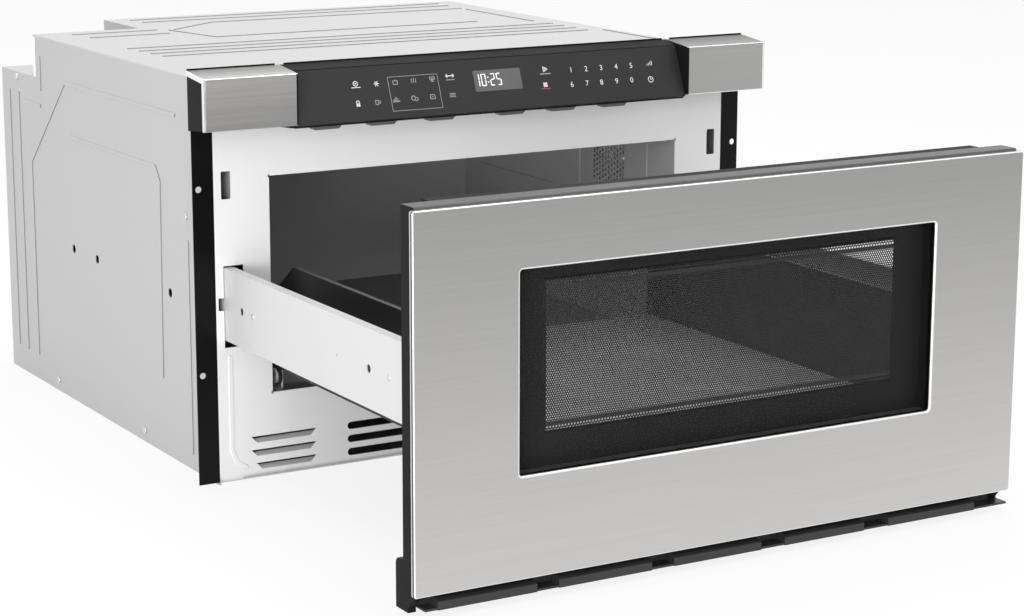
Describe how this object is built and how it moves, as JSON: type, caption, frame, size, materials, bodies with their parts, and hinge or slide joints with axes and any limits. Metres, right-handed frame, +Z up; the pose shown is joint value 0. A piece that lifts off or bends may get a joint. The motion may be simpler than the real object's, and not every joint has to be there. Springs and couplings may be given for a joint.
{
  "type": "microwave drawer",
  "caption": "Built-in microwave drawer: sheet-metal case with a dark cavity, a stainless door with a window, a basket on telescopic slides and a glass control bar.",
  "frame": {"origin": "centre of the case's base, on the surface that it stands on", "axes": "+X to the right seen from the front, +Y from the front to the back, +Z up; the drawer opens towards -Y and is open at rest"},
  "size_m": [0.6064, 0.9882, 0.3896],
  "materials": {
    "case_paint": "pre-coated pale grey sheet",
    "zinc_sheet": "galvanised",
    "front_paint": "white enamel, satin",
    "flange_paint": "gloss black",
    "liner_enamel": "dark grey enamel, satin",
    "stainless": "brushed along the width",
    "black_plastic": "fine texture",
    "control_glass": "back-printed, gloss",
    "window_glass": "clear with a printed border",
    "screen_steel": "black, perforated",
    "basket_plastic": "moulded, semi-gloss",
    "tray_glass": "glass ceramic",
    "rail_paint": "white, satin",
    "slide_steel": "zinc plated",
    "gear_plastic": "acetal",
    "roller_plastic": "moulded",
    "core_iron": "varnished laminations",
    "winding_copper": "enamelled wire",
    "motor_steel": "plated",
    "magnetron_metal": "plated and finned",
    "board_laminate": "glass-fibre laminate",
    "capacitor_can": "drawn can",
    "fan_plastic": "moulded",
    "switch_plastic": "moulded",
    "cover_mica": "mica sheet",
    "seal_rubber": "foam strip",
    "lamp_shade": "pressed",
    "screw_steel": "zinc plated"
  },
  "bodies": {
    "case": {"outer_case": "case_paint", "base_pan": "zinc_sheet", "back_panel": "zinc_sheet", "recess_panel": "case_paint", "cord_bush": "black_plastic", "front_plate": "front_paint", "mounting_flange_left": "flange_paint", "mounting_flange_right": "flange_paint", "cavity_liner": "liner_enamel", "waveguide": "zinc_sheet", "stirrer_cover": "cover_mica", "stirrer_motor": "motor_steel", "magnetron": "magnetron_metal", "transformer_core": "core_iron", "transformer_windings": "winding_copper", "high_voltage_capacitor": "capacitor_can", "noise_filter_board": "board_laminate", "fan_housing": "fan_plastic", "fan_motor": "motor_steel", "control_housing": "black_plastic", "control_glass": "control_glass", "display_module": "switch_plastic", "control_board": "board_laminate", "end_cap_bodies": "black_plastic", "end_cap_skin_left": "stainless", "end_cap_skin_right": "stainless", "bar_seals": "seal_rubber", "slide_outer_left": "slide_steel", "slide_outer_right": "slide_steel", "drive_motor": "motor_steel", "motor_bracket": "zinc_sheet", "roller_brackets": "zinc_sheet", "interlock_switches": "switch_plastic", "cavity_lamp": "lamp_shade", "case_screws": "screw_steel"},
    "drawer": {"door_skin": "stainless", "door_frame": "black_plastic", "door_glass": "window_glass", "mesh_screen": "screen_steel", "inner_glass": "window_glass", "choke_cover": "black_plastic", "bottom_trim": "black_plastic", "latch_hooks": "screw_steel", "drawer_basket": "basket_plastic", "glass_tray": "tray_glass", "side_rail_left": "rail_paint", "side_rail_right": "rail_paint", "slide_inner_left": "slide_steel", "slide_inner_right": "slide_steel", "drive_rack": "gear_plastic", "rail_rivets": "screw_steel"},
    "slide_middle_left": {"slide_middle_left": "slide_steel"},
    "slide_middle_right": {"slide_middle_right": "slide_steel"},
    "drive_pinion": {"drive_pinion": "gear_plastic"},
    "pan_roller_left": {"pan_roller_left": "roller_plastic"},
    "pan_roller_right": {"pan_roller_right": "roller_plastic"},
    "cooling_fan": {"cooling_fan": "fan_plastic"},
    "stirrer_fan": {"stirrer_fan": "magnetron_metal"},
    "switch_plunger_left": {"switch_plunger_left": "switch_plastic"},
    "switch_plunger_right": {"switch_plunger_right": "switch_plastic"}
  },
  "joints": [
    {"name": "drawer_slide", "type": "slide", "parent": "case", "child": "drawer", "axis": [0, 1, 0], "range_m": [0, 0.387]},
    {"name": "middle_slide_left", "type": "slide", "parent": "case", "child": "slide_middle_left", "axis": [0, 1, 0], "range_m": [0, 0.194]},
    {"name": "middle_slide_right", "type": "slide", "parent": "case", "child": "slide_middle_right", "axis": [0, 1, 0], "range_m": [0, 0.194]},
    {"name": "pinion_spin", "type": "hinge", "parent": "case", "child": "drive_pinion", "pos_m": [0.2655, -0.247, 0.1481], "axis": [1, 0, 0], "range_deg": [0, 3470]},
    {"name": "roller_spin_left", "type": "hinge", "parent": "case", "child": "pan_roller_left", "pos_m": [-0.2148, -0.2708, 0.096], "axis": [1, 0, 0], "range_deg": [-2470, 0]},
    {"name": "roller_spin_right", "type": "hinge", "parent": "case", "child": "pan_roller_right", "pos_m": [0.2148, -0.2708, 0.096], "axis": [1, 0, 0], "range_deg": [-2470, 0]},
    {"name": "cooling_fan_spin", "type": "hinge", "parent": "case", "child": "cooling_fan", "pos_m": [0.129, 0.2152, 0.24], "axis": [1, 0, 0], "continuous": true},
    {"name": "stirrer_spin", "type": "hinge", "parent": "case", "child": "stirrer_fan", "pos_m": [0, -0.06, 0.3], "axis": [0, 0, 1], "continuous": true},
    {"name": "plunger_left", "type": "slide", "parent": "case", "child": "switch_plunger_left", "axis": [0, 1, 0], "range_m": [0, 0.0025], "stiffness_N_per_m": 300, "springref_m": -0.001},
    {"name": "plunger_right", "type": "slide", "parent": "case", "child": "switch_plunger_right", "axis": [0, 1, 0], "range_m": [0, 0.0025], "stiffness_N_per_m": 300, "springref_m": -0.001}
  ],
  "couplings": [
    {"joint": "middle_slide_left", "follows": "drawer_slide", "ratio": 0.5},
    {"joint": "middle_slide_right", "follows": "drawer_slide", "ratio": 0.5},
    {"joint": "pinion_spin", "follows": "drawer_slide", "rad_per_m": 156.25},
    {"joint": "roller_spin_left", "follows": "drawer_slide", "rad_per_m": -111.11},
    {"joint": "roller_spin_right", "follows": "drawer_slide", "rad_per_m": -111.11}
  ]
}
